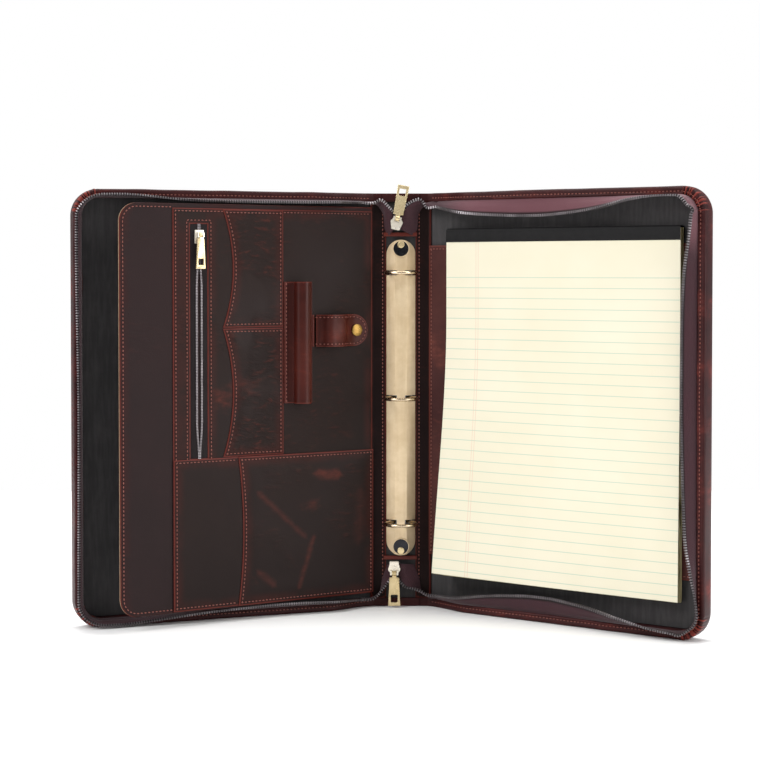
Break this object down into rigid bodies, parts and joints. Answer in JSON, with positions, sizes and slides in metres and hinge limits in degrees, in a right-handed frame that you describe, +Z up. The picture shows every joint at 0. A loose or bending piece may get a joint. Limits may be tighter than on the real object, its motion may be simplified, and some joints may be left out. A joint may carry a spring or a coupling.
{
  "type": "zip-around portfolio case",
  "caption": "Zip-around leather portfolio case standing open, with a ring binder, an organizer leaf of pockets and a ruled writing pad.",
  "frame": {"origin": "foot of the spine, in the middle of the surface it stands on", "axes": "+X to the right along the spine's face, +Y away from the reader, +Z up"},
  "size_m": [0.5154, 0.1666, 0.3655],
  "materials": {
    "outer_leather": "oil-waxed burgundy leather, satin, with stitched edges",
    "inner_leather": "oil-waxed dark brown leather with red-brown pull-up patches",
    "trim_leather": "oil-waxed red-brown leather",
    "stiffener_board": "pressed fibre board",
    "lining": "black matt lining cloth",
    "zip_tape": "plum-brown twill zip tape",
    "zip_teeth": "dark metal zip teeth",
    "antique_brass": "brushed antique brass plating",
    "bright_brass": "polished light brass",
    "gunmetal": "dark gunmetal",
    "spring_steel": "spring steel",
    "slider_metal": "cast slider, antique silver",
    "paper": "cream ruled writing paper",
    "pad_cardboard": "grey-brown cardboard",
    "pad_binding": "black cloth binding tape"
  },
  "bodies": {
    "spine": {"spine_leather": "outer_leather", "spine_board": "stiffener_board", "spine_lining": "lining", "left_hinge_strip": "inner_leather", "right_hinge_strip": "inner_leather", "ring_cover_plate": "antique_brass", "plate_end_washers": "gunmetal", "plate_rivets": "bright_brass", "top_end_strip": "inner_leather", "bottom_end_strip": "inner_leather", "top_zip_gusset": "zip_tape", "bottom_zip_gusset": "zip_tape", "top_slider": "slider_metal", "bottom_slider": "slider_metal"},
    "left_ring_arm": {"left_ring_blade": "spring_steel", "left_half_rings": "antique_brass"},
    "right_ring_arm": {"right_ring_blade": "spring_steel", "right_half_rings": "antique_brass"},
    "left_cover": {"left_cover_leather": "outer_leather", "left_cover_board": "stiffener_board", "left_cover_lining": "lining", "left_rim": "outer_leather", "left_zip_tape": "zip_tape", "left_zip_teeth": "zip_teeth"},
    "right_cover": {"right_cover_leather": "outer_leather", "right_cover_board": "stiffener_board", "right_cover_lining": "lining", "right_rim": "outer_leather", "right_zip_tape": "zip_tape", "right_zip_teeth": "zip_teeth", "pad_band": "inner_leather"},
    "organizer_leaf": {"leaf_back": "inner_leather", "leaf_board": "stiffener_board", "leaf_face": "inner_leather", "pocket_panel": "inner_leather", "pocket_zip_tape": "zip_tape", "pocket_zip_teeth": "zip_teeth", "upper_card_pocket": "inner_leather", "lower_card_pocket": "inner_leather", "lower_panel": "inner_leather", "phone_pocket": "inner_leather", "pen_loop": "trim_leather", "strap_tab": "trim_leather", "snap_stud": "bright_brass"},
    "strap": {"cable_strap": "trim_leather", "snap_cap": "bright_brass"},
    "pocket_zip_slider": {"pocket_slider": "slider_metal"},
    "pocket_zip_pull": {"pocket_pull": "bright_brass"},
    "top_zip_pull": {"top_pull": "bright_brass"},
    "bottom_zip_pull": {"bottom_pull": "bright_brass"},
    "writing_pad": {"pad_back": "pad_cardboard", "pad_sheets": "paper", "pad_binding": "pad_binding"}
  },
  "joints": [
    {"name": "left_cover_hinge", "type": "hinge", "parent": "spine", "child": "left_cover", "pos_m": [-0.024, 0, 0.179], "axis": [0, 0, 1], "range_deg": [-20, 70]},
    {"name": "right_cover_hinge", "type": "hinge", "parent": "spine", "child": "right_cover", "pos_m": [0.024, 0, 0.179], "axis": [0, 0, -1], "range_deg": [-34, 56]},
    {"name": "leaf_hinge", "type": "hinge", "parent": "left_cover", "child": "organizer_leaf", "pos_m": [-0.02432, -0.00203, 0.179], "axis": [0, 0, -1], "range_deg": [-58, 10]},
    {"name": "left_ring_hinge", "type": "hinge", "parent": "spine", "child": "left_ring_arm", "pos_m": [-0.0108, -0.0016, 0.1815], "axis": [0, 0, 1], "range_deg": [-20, 0]},
    {"name": "right_ring_hinge", "type": "hinge", "parent": "spine", "child": "right_ring_arm", "pos_m": [0.0108, -0.0016, 0.1815], "axis": [0, 0, 1], "range_deg": [0, 20]},
    {"name": "strap_hinge", "type": "hinge", "parent": "organizer_leaf", "child": "strap", "pos_m": [-0.0729, -0.03389, 0.2405], "axis": [0, 0, 1], "range_deg": [-75, 0]},
    {"name": "pocket_zip_slide", "type": "slide", "parent": "organizer_leaf", "child": "pocket_zip_slider", "axis": [0, 0, -1], "range_m": [0, 0.17]},
    {"name": "pocket_pull_hinge", "type": "hinge", "parent": "pocket_zip_slider", "child": "pocket_zip_pull", "pos_m": [-0.16442, -0.08938, 0.3209], "axis": [0.866, 0.5, 0], "range_deg": [-120, 0]},
    {"name": "top_pull_hinge", "type": "hinge", "parent": "spine", "child": "top_zip_pull", "pos_m": [-0.00314, -0.0098, 0.33614], "axis": [0.9816, 0, -0.1908], "range_deg": [0, 135]},
    {"name": "bottom_pull_hinge", "type": "hinge", "parent": "spine", "child": "bottom_zip_pull", "pos_m": [-0.0058, -0.0098, 0.02968], "axis": [-1, 0, 0], "range_deg": [0, 135]},
    {"name": "pad_slide", "type": "slide", "parent": "right_cover", "child": "writing_pad", "axis": [0, 0, -1], "range_m": [-0.02, 0]}
  ],
  "couplings": [
    {"joint": "right_ring_hinge", "follows": "left_ring_hinge", "ratio": -1}
  ]
}
